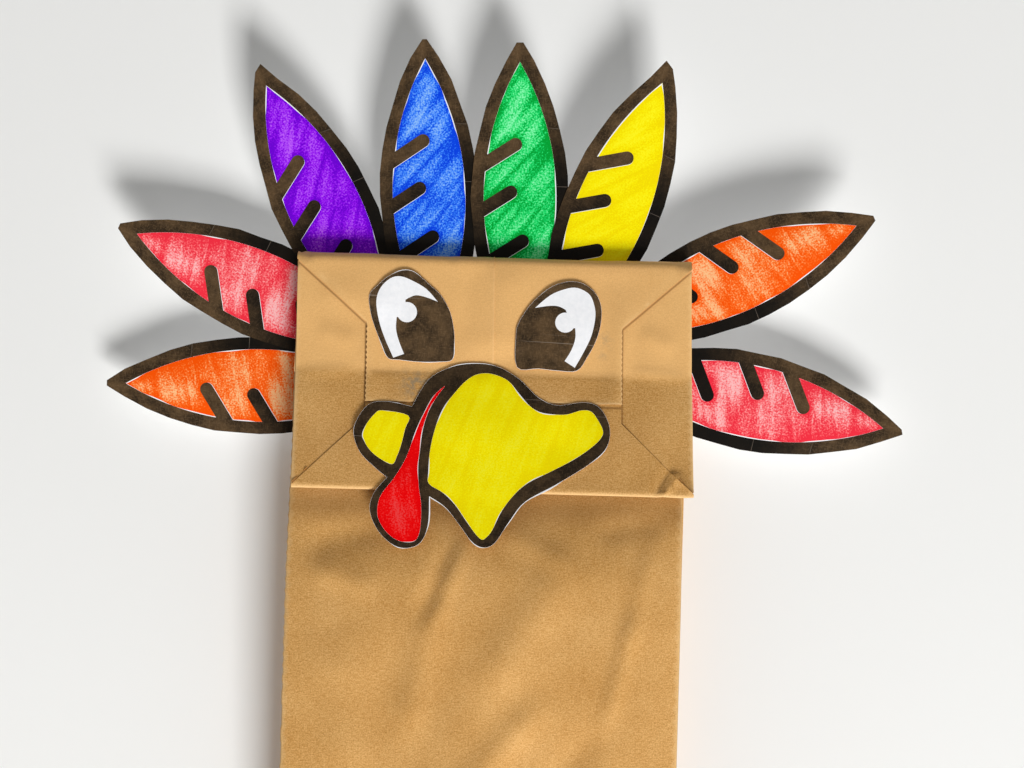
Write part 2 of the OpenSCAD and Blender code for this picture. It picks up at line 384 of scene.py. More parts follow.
class Shader:
    """A node material, with short calls for the nodes it is made of."""

    def __init__(self, name):
        self.material = bpy.data.materials.new(name)
        self.material.use_nodes = True
        self.tree = self.material.node_tree
        self.tree.nodes.clear()
        self.uv = self.add("UVMap", uv_map="flat").outputs[0]

    def add(self, kind, inputs=None, **settings):
        node = self.tree.nodes.new("ShaderNode" + kind)
        for key, value in settings.items():
            setattr(node, key, value)
        for key, value in (inputs or {}).items():
            if isinstance(value, bpy.types.NodeSocket):
                self.tree.links.new(value, node.inputs[key])
            else:
                node.inputs[key].default_value = value
        return node

    def noise(self, scale, detail=3.0, rough=0.5, turn=0.0, stretch=(1, 1), distort=0.0):
        """Noise over the flat sheet; scale is in features per 100 mm."""
        size = (1 / stretch[0], 1 / stretch[1], 1)
        mapping = {"Vector": self.uv, "Rotation": (0, 0, math.radians(turn)), "Scale": size}
        at = self.add("Mapping", mapping, vector_type="TEXTURE").outputs[0]
        values = {"Vector": at, "Scale": scale, "Detail": detail, "Roughness": rough, "Distortion": distort}
        return self.add("TexNoise", values, noise_dimensions="2D").outputs["Fac"]

    def ramp(self, fac, *stops):
        node = self.add("ValToRGB", {"Fac": fac})
        elements = node.color_ramp.elements
        while len(elements) < len(stops):
            elements.new(0.5)
        for element, (position, colour) in zip(elements, stops):
            element.position = position
            element.color = colour
        return node.outputs["Color"]

    def level(self, fac, low, high):
        """fac stretched so that low becomes 0 and high becomes 1."""
        values = {"Value": fac, "From Min": low, "From Max": high}
        return self.add("MapRange", values).outputs["Result"]

    def mix(self, fac, a, b, blend="MIX"):
        values = {"Factor": fac, 6: a, 7: b}
        node = self.add("Mix", values, data_type="RGBA", blend_type=blend)
        return node.outputs[2]

    def math(self, operation, a, b):
        return self.add("Math", {0: a, 1: b}, operation=operation).outputs[0]

    def stained(self, base, colour, fac, share):
        """The base turned to a colour by fac, up to the given share."""
        return self.mix(self.math("MULTIPLY", fac, share), base, linear(*colour))

    def tint(self, name):
        """A value that the mesh holds at its vertices."""
        return self.add("Attribute", attribute_name=name).outputs["Fac"]

    def finish(self, colour, roughness, height, strength, depth, specular=0.35):
        """The surface, with a bump from height that is depth metres deep at full strength."""
        bump = self.add("Bump", {"Height": height, "Strength": strength, "Distance": depth})
        surface = {"Base Color": colour, "Roughness": roughness, "Specular IOR Level": specular}
        surface["Normal"] = bump.outputs[0]
        shader = self.add("BsdfPrincipled", surface)
        self.add("OutputMaterial", {"Surface": shader.outputs[0]})
        return self.material


def kraft_material(name, dark, mid, light):
    """Brown kraft: mottled pulp, long fibres across the web, flecks, paler worn folds with painted
    highlights, a paler painted-light upper head and painted shade lines.
    """
    s = Shader(name)
    cloud = s.noise(5, 4, 0.55)
    pulp = s.noise(240, 3, 0.6, stretch=(0.8, 1))
    fibre = s.noise(230, 3, 0.6, turn=3, stretch=(0.2, 1))
    mottle = s.math("ADD", s.math("MULTIPLY", cloud, 0.25), s.math("MULTIPLY", pulp, 0.75))
    body = s.ramp(mottle, (0.28, dark), (0.5, mid), (0.72, light))
    body = s.mix(0.22, body, s.ramp(fibre, (0.35, dark), (0.65, light)))
    fleck = s.level(s.noise(420, 2, 0.5, stretch=(0.5, 1)), 0.69, 0.75)
    body = s.stained(body, (120, 80, 45), fleck, 0.55)
    # Worn folds, with painted highlights where an edge faces the light
    body = s.stained(body, (244, 206, 150), s.tint("wear_and_highlight"), 0.7)
    # Painted light: the head's upper half made paler, as if lit more
    body = s.stained(body, (248, 196, 128), s.tint("pale"), 0.55)
    # Painted shade: dark lines and bands where the paper lies in shadow
    body = s.stained(body, (110, 72, 34), s.tint("painted_shade"), 0.7)
    body = s.stained(body, (140, 130, 110), s.tint("smudge"), s.level(s.noise(50, 3, 0.6), 0.35, 0.65))
    rough = s.math("MULTIPLY", s.level(pulp, -0.6, 1.6), 0.2)
    crumple = s.math("MULTIPLY", s.noise(20, 3, 0.5), 0.6)
    height = s.math("ADD", crumple, s.math("MULTIPLY", pulp, 0.03))
    return s.finish(body, s.math("ADD", rough, 0.55), height, 0.3, 0.0003, specular=0.12)


def marker_material(name, deep, mid, pale, turn, patch):
    """Felt-tip marker on printer paper: overlapping strokes and thin places where the paper shows."""
    s = Shader(name)
    stroke = s.noise(24, 3, 0.6, turn=turn, stretch=(0.12, 1), distort=0.3)
    cloud = s.noise(9, 3, 0.5)
    grain = s.noise(170, 2, 0.6)
    tone = s.math("ADD", s.math("MULTIPLY", stroke, 0.45), s.math("MULTIPLY", cloud, patch))
    tone = s.math("ADD", tone, s.math("MULTIPLY", grain, 0.5))
    centre = 0.475 + patch / 2
    tone = s.math("SUBTRACT", tone, s.math("MULTIPLY", s.tint("edge"), 0.12))
    colour = s.ramp(tone, (centre - 0.1, deep), (centre, mid), (centre + 0.14, pale))
    return s.finish(colour, 0.6, grain, 0.2, 0.0001, specular=0.05)


def ink_material(name):
    """Printed black: warm, with a fine cross-hatch of thin light lines where the toner has cracked."""
    s = Shader(name)
    across = s.noise(210, 2, 0.7, turn=4, stretch=(0.3, 1))
    down = s.noise(210, 2, 0.7, turn=94, stretch=(0.3, 1))
    hatch = s.math("MAXIMUM", s.level(across, 0.52, 0.74), s.level(down, 0.52, 0.74))
    base = s.ramp(s.noise(14, 3, 0.6), (0.35, linear(50, 38, 24)), (0.65, linear(88, 68, 45)))
    colour = s.stained(base, (130, 104, 76), hatch, 0.35)
    # Near-black where the deep tint is strong: on the feathers this is painted shade towards the base and
    # the side a neighbouring feather shades; on the beak it is an evenly darker print
    colour = s.stained(colour, (10, 9, 7), s.tint("deep"), 0.95)
    scratch = s.level(s.noise(120, 1, 0.4, turn=2, stretch=(0.008, 1)), 0.785, 0.81)
    colour = s.stained(colour, (170, 155, 140), scratch, 0.4)
    return s.finish(colour, 0.5, s.noise(300, 3, 0.7), 0.2, 0.0001, specular=0.1)


def white_material(name):
    s = Shader(name)
    colour = s.ramp(s.noise(60, 4, 0.6), (0.3, linear(243, 244, 247)), (0.7, linear(252, 252, 254)))
    return s.finish(colour, 0.7, s.noise(400, 3, 0.7), 0.15, 0.0001)


def glue_material(name):
    s = Shader(name)
    colour = s.ramp(s.noise(25, 4, 0.6), (0.3, linear(214, 205, 178)), (0.7, linear(236, 230, 212)))
    return s.finish(colour, 0.45, s.noise(60, 4, 0.6), 0.4, 0.0002)


KRAFT_OUT = kraft_material("kraft", linear(168, 116, 48), linear(206, 155, 88), linear(232, 186, 122))
INK = ink_material("printed_black")
WHITE = white_material("white_paper")
GLUE = glue_material("dried_glue")
MARKERS = {
    "purple": ((108, 0, 212), (150, 14, 244), (190, 96, 252), -55, 0.15),
    "blue": ((6, 66, 228), (52, 130, 255), (146, 194, 255), -50, 0.15),
    "green": ((0, 160, 52), (26, 226, 112), (140, 250, 180), -50, 0.15),
    "yellow": ((246, 222, 0), (252, 236, 0), (255, 246, 30), -50, 0.2),
    "red": ((242, 48, 66), (252, 104, 110), (255, 190, 190), -15, 0.35),
    "orange": ((250, 84, 0), (255, 122, 44), (255, 196, 140), -15, 0.35),
    "beak": ((250, 228, 0), (255, 240, 0), (255, 245, 40), -70, 0.3),
    "snood": ((244, 0, 6), (255, 10, 10), (255, 70, 70), 80, 0.3),
}
MARKER = {
    key: marker_material(key + "_marker", linear(*deep), linear(*mid), linear(*pale), turn, patch)
    for key, (deep, mid, pale, turn, patch) in MARKERS.items()
}


def settle(piece, body, slot, *nodes):
    """Says which body a piece rides on and which CAD nodes it stands for; the finish, slot, is not used."""
    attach(piece, body)
    if nodes:
        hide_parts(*nodes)


def bend(piece, body, other, start, end, *nodes):
    """A kraft piece with its transform baked in and its CAD nodes hidden; body, other, start and end (in
    millimetres) are not used.
    """
    start, end = np.array(start) * MM, np.array(end) * MM
    tuple(start)
    tuple(end)
    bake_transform(piece)
    if nodes:
        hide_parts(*nodes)


def named(stem, side):
    return stem + ("_left" if side < 0 else "_right")


def creased(name, outline, rim_step, step, place, tints=None, flip=False, **folds):
    """Kraft paper within a straight-sided outline; folds are the lines, rows and columns in it."""
    at, faces = cut_mesh(subdivided(np.array(outline, float), rim_step), step=step, **folds)
    return paper(name, at, faces, place, PLY, [KRAFT_OUT], tints=tints, flip=flip)


def edge_tint(*loops, reach=1.2):
    """A tint that is strongest along closed loops and fades over the given reach."""
    return lambda p: np.max([np.exp(-distance(p, loop) / reach) for loop in loops], axis=0)


# ---- feathers ----

FEATHER_L, FEATHER_W, BORDER = 106, 32.6, 4.15
LEAF_R = (FEATHER_L**2 + FEATHER_W**2) / (4 * FEATHER_W)
REACH = LEAF_R - FEATHER_W / 2
SNIP = 1 / math.tan(math.acos(1 - FEATHER_W / 2 / LEAF_R))  # ideal point lost by cutting the tip blunt
MIDDLE = FEATHER_L / 2 - SNIP
BARBS = [(33.6, -1.5), (49.4, -3.1), (65.7, 0.8)]
BARB_R, BARB_RISE = 2.2, math.radians(32)
GAP = 0.3  # white left between the print and the marker


def leaf_half(s, inset=0.0):
    """Half-width of the leaf at s from its blunt tip, moved in by inset."""
    r = LEAF_R - inset
    return np.sqrt(np.maximum(r**2 - (s - MIDDLE) ** 2, 0)) - REACH


def leaf(inset, steps):
    """The printed leaf as a closed loop of (offset, distance from the tip)."""
    reach_s = math.sqrt((LEAF_R - inset) ** 2 - REACH**2)
    s = MIDDLE - reach_s * np.cos(np.linspace(0, math.pi, steps))
    half = leaf_half(s, inset)
    right = np.stack([half, s], axis=1)
    left = np.stack([-half, s], axis=1)[::-1]
    return np.concatenate([right, left[1:-1]])


def uneven(loop, seed):
    """The edge of the marker inside a printed outline: close to it, with gaps here and there."""
    gap = np.clip(GAP * (0.1 + 3 * ripple(loop[:, 0], loop[:, 1], 8, seed + 0.5)), 0.02, 1.1 * GAP)
    return grown(loop, -gap[:, None])


def cut_leaf(seed, blunt, slant):
    """The leaf as cut by hand: straight snips, and a blunt tip that may slant."""
    end = FEATHER_L - 2 * SNIP
    s = np.concatenate([[0], np.linspace(6, end - 6, 13), [end]])
    random = np.random.default_rng(seed)
    sides = []
    for side in (1, -1):
        half = leaf_half(s) + random.uniform(-0.25, 0.3, len(s))
        half[0] = blunt
        row = np.stack([side * half, s + 0.0], axis=1)
        row[0, 1] -= side * slant
        sides.append(row)
    return np.concatenate([sides[0], sides[1][::-1]])


def barb(end):
    """A round-ended bar from inside the leaf, left and down into the printed border."""
    centre = np.array([end[1], end[0]])
    way = np.array([-math.cos(BARB_RISE), math.sin(BARB_RISE)])
    reaches = centre + np.arange(0, 40, 0.2)[:, None] * way
    root = reaches[reaches[:, 0] < -leaf_half(reaches[:, 1], BORDER) - 1.3][0]
    side = np.array([way[1], -way[0]]) * BARB_R
    turn = math.degrees(math.atan2(way[1], way[0]))
    cap = arc_points(centre, BARB_R, turn + 90, turn + 270, 11)
    if np.dot(cap[0] - centre, side) < 0:
        side = -side
    return np.concatenate([cap, [root - side, root + side]])


# Tip x, tip z, lean, marker, blunt end, slant, curl of the tip and cup across, in millimetres
FEATHERS = {
    "feather_purple": (-80.7, 331.3, -27.2, "purple", 1.4, 0.9, -2.0, 0.8),
    "feather_blue": (-25.5, 342.5, -3.2, "blue", 0.7, 0.0, -1.5, 0.8),
    "feather_green": (6.3, 342.0, -1.6, "green", 1.1, 0.0, -2.5, 0.6),
    "feather_yellow": (56.1, 335.8, 20.4, "yellow", 1.5, -0.9, -3.0, 0.6),
    "feather_red_left": (-125.2, 277.5, -67.6, "red", 0.9, 0.0, -3.0, 1.2),
    "feather_orange_left": (-128.9, 225.2, -90.6, "orange", 0.9, 0.0, 1.0, 1.5),
    "feather_orange_right": (125.4, 286.9, 65.9, "orange", 0.9, 0.0, -3.0, 1.4),
    "feather_red_right": (136.9, 216.2, 99.9, "red", 0.8, 0.3, -2.0, 1.6),
}


FREE_L, LEAF_HALF = 58, 16  # how long a feather's free part is, and half a feather's width


def feather(node, seed):
    tip_x, tip_z, lean, colour, blunt, slant, curl, cup = FEATHERS[node]
    a = math.radians(lean)
    layer_y = box_mm(node)[0][1]

    def place(p, depth):
        t, s = p[:, 0], p[:, 1]
        x = tip_x - s * math.sin(a) + t * math.cos(a)
        z = tip_z - s * math.cos(a) - t * math.sin(a)
        free = np.clip(1 - s / FREE_L, 0, 1)
        y = layer_y + depth + curl * free**1.6 + cup * free * (t / LEAF_HALF) ** 2
        return np.stack([x, y, z], axis=1)

    outline = subdivided(cut_leaf(seed, blunt, slant), 2.0)
    inner = leaf(BORDER, 60)
    filled = uneven(inner, seed)
    bars = [barb(end) for end in BARBS]
    haloes = [bar + (0, 0.6 * GAP) for bar in bars]  # white shows only below each bar
    at, faces = cut_mesh(outline, [inner, filled, *bars, *haloes], step=2.4)
    # deep: painted shade, turning the print near-black towards the feather's base and towards the side a
    # neighbouring feather shades
    tints = {"edge": edge_tint(filled, *bars), "deep": lambda p: smooth(p[:, 1] + 0.9 * p[:, 0], 26, 60)}

    def paint(c):
        in_bar = np.any([inside(c, b) for b in bars], axis=0)
        in_halo = np.any([inside(c, b) for b in haloes], axis=0)
        in_leaf = inside(c, inner)
        in_fill = inside(c, filled) & ~in_halo
        return np.select([in_bar & in_leaf, in_fill, in_leaf], [0, 1, 2], 0)

    piece = paper(node + "_print", at, faces, place, CARD, [INK, MARKER[colour], WHITE], paint, tints)
    settle(piece, "root", colour + "_marker", node)


for order, feather_node in enumerate(FEATHERS):
    feather(feather_node, order + 3)


# ---- the bag ----

SEAM_W = 12
EDGE_TEETH, TOOTH_H = 3.2, 1.3  # pitch and height of the teeth along the bag's open end
NOTCH_R = 10  # radius of the notch in the front's open end
INNER_EDGE = 39.5  # distance from the top crease of the inner flap's hidden edge
FLAP_EDGE = 48.8  # distance from the top crease of the outer flap's lower edge


def line_tint(axis, *values, width=0.8):
    """A tint that marks the folds at the given values along an axis."""
    return lambda p: np.max([np.exp(-(((p[:, axis] - v) / width) ** 2)) for v in values], axis=0)


def rim_tint(loop, width=0.5):
    """A tint that marks a closed loop with a thin line."""
    return lambda p: np.exp(-((distance(p, loop) / width) ** 2))


def back_y(x, z):
    """Waviness of the back panel, kept away from the feathers."""
    return 0.12 * ripple(x, z, 40, 5.1)


# The top crease: how far below the hinge the paper starts to turn, and its length in the turn
CREST, CREST_TURN = 3.2, 6.4
CREST_Y = HEAD_AXIS[1] - CREST * math.sin(TILT)
CREST_Z = TOP - CREST * math.cos(TILT)


def over_top(side):
    """Place of a sheet that runs up the back, over the top crease and down the front of the head.

    Flat points are (across, length): above the crease the length is negative and counts down
    the head, and below it counts down the back.
    """

    def place(p, depth):
        u, length = p[:, 0], p[:, 1]
        v = CREST + np.clip(-length, 0, None)
        # It stands up a little over the inner flap, at its cut sides and over the glued seam
        on_inner = smooth(v, INNER_EDGE - 1, INNER_EDGE + 0.6) * smooth(-np.abs(u), -42.6, -41)
        seam = smooth(u, -SEAM_W - 2, -SEAM_W) * 0.12 if side < 0 else 0 * u
        lifted = 0.4 * smooth(np.abs(u), 36, 41.5)
        front_n = OUTER_N + lifted + 0.3 * on_inner + seam + PLY - depth
        head = head_point(sheared(u, v), v, front_n)
        step = smooth(u, -SEAM_W - 2, -SEAM_W - 0.5) * 0.4 if side < 0 else 0 * u
        down = np.clip(length - CREST_TURN, 0, None)
        rear = 0.5 + step + PLY - depth + back_y(u, down)
        back = np.stack([u, HEAD_AXIS[1] + rear, CREST_Z - down], axis=-1)
        share = np.clip(length / CREST_TURN, 0, 1)
        angle = share * (math.pi - TILT) + math.pi + TILT
        front_r = front_n + head_relief(sheared(u, v), v)
        radius = front_r + (HEAD_AXIS[1] - CREST_Y + rear - front_r) * smooth(share, 0, 1)
        fold = np.stack([u, CREST_Y + radius * np.cos(angle), CREST_Z - radius * np.sin(angle)], axis=-1)
        where = [length <= 0, length >= CREST_TURN]
        return np.select([where[0][:, None], where[1][:, None]], [head, back], fold)

    return place


def back_and_flap(side):
    """Half of the back, and the outer flap that it ends in, as one folded sheet."""
    bottom = CREST_Z + CREST_TURN
    inner = 0 if side < 0 else -SEAM_W
    tongue_end = FLAP_EDGE + (0.6 if side < 0 else -0.5)
    far = TONGUE + (0.2 if side < 0 else 0.4)
    tooth = side * 0.35
    slit = serrated((side * far, CREST - tongue_end), (side * far, CREST - TUCK - 0.6), 1.7, tooth)
    hem = serrated((side * HALF, bottom), (inner, bottom), EDGE_TEETH, side * TOOTH_H)
    outline = [(inner, CREST - FLAP_EDGE), (side * (far - 0.3), CREST - tongue_end), *slit,
               (side * far, CREST - TUCK), (side * HALF, 0), *hem, (inner, bottom)]
    folds = [-0.4, 0.4, 1.2, 2.0, 2.8, 3.6, 4.4, 5.2, 6.0, 6.8]
    embossed = CREST - INNER_EDGE
    joint = (-SEAM_W - 2, -SEAM_W - 1) if side < 0 else ()
    window = np.array([(side * HALF, CREST), (side * far, CREST - TUCK), (side * far, CREST - tongue_end),
                       (inner, CREST - FLAP_EDGE), (inner, CREST)], float)
    within = grown(subdivided(window, 2.5), -0.7)
    # The flap's edge line is partly wear and partly painted highlight, stronger on the right where the edges
    # face the light
    edge_wear_and_highlight = 0.7 if side < 0 else 1.0

    def wear_and_highlight(p):
        edge = edge_wear_and_highlight * rim_tint(window)(p) * smooth(-p[:, 1], 0.5, 3)
        return np.maximum(line_tint(1, 2.0, width=1.0)(p), edge)

    # Pale: painted light over the head's upper half, above the embossed line. The top crease and the flap's
    # edges get wear with a painted highlight.
    tints = {"wear_and_highlight": wear_and_highlight,
             "smudge": smudges,
             "pale": lambda p: smooth(p[:, 1], embossed - 0.4, embossed + 0.8)}
    name = "back_left_and_flap" if side < 0 else "back_right_and_flap"
    piece = creased(name, outline, 2.5, 2.5, over_top(side), tints, True, lines=[within], columns=joint,
                    rows=[embossed - 0.6, embossed + 1, *folds])
    nodes = ["back_panel_left"] if side < 0 else ["back_panel_right", "bottom_flap_outer"]
    y = HEAD_AXIS[1]
    bend(piece, "root", "head", (0, y + 0.4, 0), (0, y - 1.3, 0), *nodes)


def smudges(p):
    """Grey pencil smudges on the head, as a strength at each flat point."""
    spots = [(-25, -40.5, 4.5, 0.9), (36.5, -24, 2, 0.5), (36, -28.5, 1.5, 0.4)]
    spread = [s * np.exp(-(((p[:, 0] - x) ** 2 + (p[:, 1] - y) ** 2) / r**2)) for x, y, r, s in spots]
    return np.max(spread, axis=0)


LOWER_V = 77.5  # where the head's lower edge starts to turn under
LOWER_TURN, SIDE_TURN = 2.4, 0.8  # length of paper in the turn at the head's lower and side edges


def inner_flap_place(p, depth):
    """The inner flap down the head, round its lower edge and up the pleat behind it."""
    u, length = p[:, 0], p[:, 1]
    v = LOWER_V + np.clip(length, None, 0)
    front_n = INNER_N + PLY - depth + 0 * u
    head = head_point(sheared(u, v), v, front_n)
    s = np.clip(length - LOWER_TURN, 0, None)
    rear = 0.4 + PLY - depth + 0 * u
    back = pleat_point(sheared(u, HEAD_L - s), s, rear)
    share = np.clip(length / LOWER_TURN, 0, 1)
    corner = head_point(sheared(u, LOWER_V), LOWER_V + 0 * u, PLEAT_N + 0 * u)
    radius = (front_n - PLEAT_N) * (1 - share) + rear * share
    angle = share * (math.pi + TILT - PLEAT_TILT)
    fold = corner.copy()
    fold[:, 1] -= radius * np.cos(angle - TILT)
    fold[:, 2] -= radius * np.sin(angle - TILT)
    return np.select([(length <= 0)[:, None], (length >= LOWER_TURN)[:, None]], [head, back], fold)


def bend_to_pleat(piece, *nodes):
    """Bakes the piece through bend, naming the head in front of the pleat's plane and the pleat behind it,
    which bend does not use.
    """
    way = np.array([0, math.cos(PLEAT_TILT), -math.sin(PLEAT_TILT)])
    bend(piece, "head", "pleat", PLEAT_AXIS - 0.75 * way, PLEAT_AXIS + 0.1 * way, *nodes)


def inner_flap():
    top = INNER_EDGE - LOWER_V
    end = LOWER_TURN + GUSSET - 0.4
    corner = HEAD_L - LOWER_V - TUCK
    edge = HALF - 0.2
    outline = [(-TONGUE, top), (TONGUE, top), (TONGUE, corner), (edge, 0),
               (edge, end), (-edge, end), (-edge, 0), (-TONGUE, corner)]
    shadow = FLAP_EDGE + 0.7 - LOWER_V  # just below the outer flap's edge
    rows = [shadow - 0.6, shadow, shadow + 0.6, -1, -0.2, 0.4, 0.9, 1.4, 1.9, 2.5]
    # Painted shade in a thin line just below the outer flap's edge, and wear with a painted highlight along
    # the head's lower fold
    tints = {"wear_and_highlight": line_tint(1, 0.9, width=0.7), "painted_shade": line_tint(1, shadow, width=0.4)}
    piece = creased("inner_flap_and_pleat", outline, 2, 1.8, inner_flap_place, tints, True, rows=rows)
    bend_to_pleat(piece, "bottom_flap_inner", "mouth_pleat")


def side_fold_place(side):
    """The tuck down the head's side, folded back at the edge into the triangle behind it."""

    def place(p, depth):
        a, v = p[:, 0], p[:, 1]
        out = np.clip(a, None, 0)
        back = np.clip(a - SIDE_TURN, 0, None)
        share = np.clip(a / SIDE_TURN, 0, 1)
        middle_n = (TUCK_N + TRIANGLE_N + PLY) / 2
        reach = (TUCK_N + PLY - middle_n) - depth
        angle = share * math.pi
        u = HALF - 0.3 + out - back + np.abs(reach) * np.sin(angle)
        n = middle_n + reach * np.cos(angle)
        return head_point(side * u + sheared(0, v), v, n)

    return place


def side_fold(side):
    """A tuck with the lower half of the triangle behind it."""
    low, high = CREST + 0.4, HEAD_L - 0.4
    turn, reach = SIDE_TURN, GUSSET - 1.5
    outline = [(-TUCK, low), (turn, low), (turn, GUSSET), (turn + reach, GUSSET),
               (turn, high - 1), (-TUCK, high)]
    beside = 0.6 - TUCK
    covered = [(1.2, 3), (beside + 0.2, TUCK + 0.4), (beside, HEAD_L - TUCK),
               (0.4, HEAD_L + 1), (-60, HEAD_L + 1), (-60, 3)]
    window = subdivided(np.array(covered, float), 1.5)  # what the outer flap lies on
    # Painted shade in a thin line on the tuck just outside the outer flap's edge, painted light on its upper
    # half, and wear along its side fold
    tints = {"wear_and_highlight": line_tint(0, 0.4, width=0.7), "painted_shade": rim_tint(window, 0.3),
             "pale": lambda p: smooth(-p[:, 1], -GUSSET - 0.4, -GUSSET + 0.4)}
    piece = creased(named("side_fold", side), outline, 2, 1.8, side_fold_place(side), tints, side > 0,
                    lines=[window, grown(window, 0.5), grown(window, -0.5)],
                    columns=[0, 0.2, 0.4, 0.6, 0.8])
    settle(piece, "head", "kraft", named("side_tuck", side), named("side_triangle", side))


def web(side):
    """The paper between the head's side edge, the top crease and the throat's inner crease."""
    top = np.array([HALF - 0.3, HEAD_AXIS[1], TOP - 0.4])
    middle = head_point(np.array([HALF - 0.3]), np.array([GUSSET + 1]), np.array([TRIANGLE_N]))[0]
    inner_y = (BACK + THROAT_IN) / 2
    reach = math.sqrt(GUSSET**2 - ((BACK - THROAT_IN) / 2) ** 2)
    apex = np.array([HALF - reach, inner_y + 0.3, THROAT_Z + 0.4])

    def place(p, depth):
        a, v = p[:, 0] / GUSSET, p[:, 1] / GUSSET
        point = top + (middle - top) * v[:, None] + (apex - middle) * a[:, None]
        sag = 4 * a * (1 - a) * v
        point[:, 1] += depth + 0.8 * sag
        point[:, 2] -= 1.5 * sag
        point[:, 0] *= side
        return point

    outline = [(0, 0.3), (GUSSET, GUSSET), (0, GUSSET)]
    tints = {"wear_and_highlight": line_tint(0, 0, width=0.7)}
    piece = creased(named("web", side), outline, 2.5, 2.5, place, tints, side < 0)
    # Its crease runs from top to apex, and way points across it towards the head
    crease = (apex - top) / np.linalg.norm(apex - top)
    way = middle - top - np.dot(middle - top, crease) * crease
    way /= np.linalg.norm(way)
    mirror = np.array([side, 1, 1])
    bend(piece, "root", "head", (top + 0.5 * way) * mirror, (top + 6 * way) * mirror)
    throat_fold(side, middle, apex)


def throat_fold(side, middle, apex):
    """The paper between the web's lower edge and the top of the triangle behind the head's side."""
    width = 6
    inner = head_point(np.array([HALF - 37.8]), np.array([GUSSET]), np.array([TRIANGLE_N]))[0]

    def place(p, depth):
        a, b = p[:, 0:1] / GUSSET, p[:, 1:2] / width
        point = middle + (apex - middle) * a + (inner - apex) * b
        point[:, 2] += depth
        return point * (side, 1, 1)

    outline = [(0.5, 0), (GUSSET, 0), (GUSSET, width)]
    piece = creased(named("throat_fold", side), outline, 1.5, 1.5, place, flip=side < 0)
    bend(piece, "root", "head", apex * (side, 1, 1), inner * (side, 1, 1))


def corner_fold(side):
    """The triangle of the gusset that lies behind the head's lower half, against the pleat."""

    def place(p, depth):
        return pleat_point(side * p[:, 0] + sheared(0, HEAD_L - p[:, 1]), p[:, 1], 0.1 + depth)

    outline = [(HALF - 0.3, 1.5), (HALF - 0.3, GUSSET - 0.5), (HALF - GUSSET + 2, GUSSET - 0.5)]
    tints = {"wear_and_highlight": line_tint(0, HALF, width=0.7)}
    piece = creased(named("corner_fold", side), outline, 2.5, 2.5, place, tints, side < 0)
    settle(piece, "pleat", "kraft", named("pleat_corner", side))


def corner_web(side):
    """The crease shared by the triangle on the head's side and the one on the pleat's corner."""
    length, width = 50, 3

    def place(p, depth):
        along, across = p[:, 0] / length, p[:, 1:2] / width
        u = HALF - 0.3 - 37 * along
        on_head = head_point(u, HEAD_L - 1.4 - 37.5 * along, TRIANGLE_N + 0 * u)
        on_pleat = pleat_point(u, 1.5 + 37 * along, 0.2 + 0 * u)
        point = on_head + (on_pleat - on_head) * across
        point[:, 0] += 0.7 * depth  # it faces outwards and down
        point[:, 2] -= 0.7 * depth
        point[:, 0] *= side
        point[:, 0] += sheared(0, HEAD_L - 37 * along)
        return point

    outline = [(0, 0), (length, 0), (length, width), (0, width)]
    piece = creased(named("corner_web", side), outline, 1.5, 1.5, place, flip=side > 0)
    bend_to_pleat(piece)


# ---- the bag's front and gussets, one sheet folded round ----

EDGE_L, EDGE_R = -64.5, 63.3  # where the front's side folds lie below the head


def front_y(z):
    """Inner face of the front panel: upright, then leaning back to the throat above its bulge."""
    rise = (THROAT_IN - FRONT) / (THROAT_Z - BULGE_Z)
    soft = 7.0  # how gently it turns
    return FRONT + rise * soft * np.log1p(np.exp(np.clip((z - BULGE_Z) / soft, -30, 30)))


def side_x(side, z):
    """Where the front's side fold lies: wider where the head covers it."""
    low = EDGE_L if side < 0 else EDGE_R
    return low + (side * HALF - low) * smooth(z, 205, 228)


# Soft folds in the front: one end, the other end, width and height, in millimetres across and up
FRONT_FOLDS = [
    ((-6, 180), (-17, 148), 2.0, 1.3),
    ((-12, 178), (-22, 150), 2.4, -1.0),
    ((-15, 160), (-25, 112), 5.0, 1.4),
    ((30, 174), (-2, 128), 8.0, 1.6),
    ((56, 182), (46, 140), 3.0, 0.9),
    ((50, 158), (40, 116), 2.6, 1.5),
    ((22, 130), (-12, 90), 5.5, 2.2),
    ((38, 120), (6, 76), 5.5, -1.6),
    ((-30, 182), (-62, 174), 5.0, -1.2),
    ((-48, 150), (-40, 96), 9.0, 1.3),
    ((12, 150), (-30, 60), 11.0, 1.4),
    ((48, 100), (26, 20), 8.0, 1.8),
    ((-20, 88), (-44, 26), 8.0, -1.6),
    ((62, 186), (34, 181), 3.5, -1.0),
    ((-58, 168), (-34, 162), 4.0, 0.9),
    ((4, 182), (30, 170), 4.0, 0.8),
    ((20, 60), (-4, 10), 7.0, 1.4),
]


def front_relief(x, z):
    """How far the front stands out from its flat plane, towards the viewer."""
    across = np.clip(1 - (x / HALF) ** 2, 0, 1) ** 0.8
    puff = 5.0 * smooth(z, 0, 80) * smooth(-z, -197, -164) + 0.5
    relief = across * puff
    for a, b, width, height in FRONT_FOLDS:
        relief += ridge(x, z, a, b, width, 1.2 * height)
    rough = 0.9 * ripple(x, z, 26, 1.7) + 0.18 * ripple(x, z, 10, 8.2)
    return relief + rough * np.clip((HALF - 3 - np.abs(x)) / 8, 0, 1)


